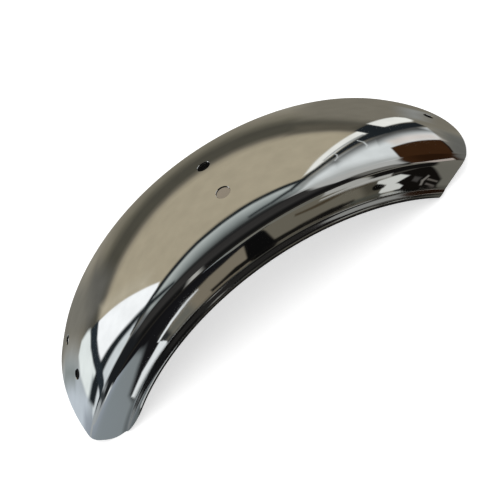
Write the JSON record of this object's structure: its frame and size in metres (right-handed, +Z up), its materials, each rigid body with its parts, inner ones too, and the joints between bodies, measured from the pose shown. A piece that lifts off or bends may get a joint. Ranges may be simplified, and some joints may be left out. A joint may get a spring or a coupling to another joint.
{
  "type": "motorcycle rear mudguard",
  "caption": "Arched sheet-steel rear mudguard for a small motorcycle, chromed, with a domed crown, upright flanks, rolled edge beads and bolt holes for frame and tail.",
  "frame": {"origin": "middle of the box that the guard fills, at the height of the surface it stands on", "axes": "+Z up, away from the wheel's axle at the middle of the arch; +X along the guard, from its straight tail end to its round front end; +Y across it"},
  "size_m": [0.3196, 0.1098, 0.0808],
  "materials": {
    "chrome": "bright chrome plating on pressed steel, mirror polished outside"
  },
  "bodies": {
    "root": {"mudguard": "chrome"}
  },
  "joints": []
}
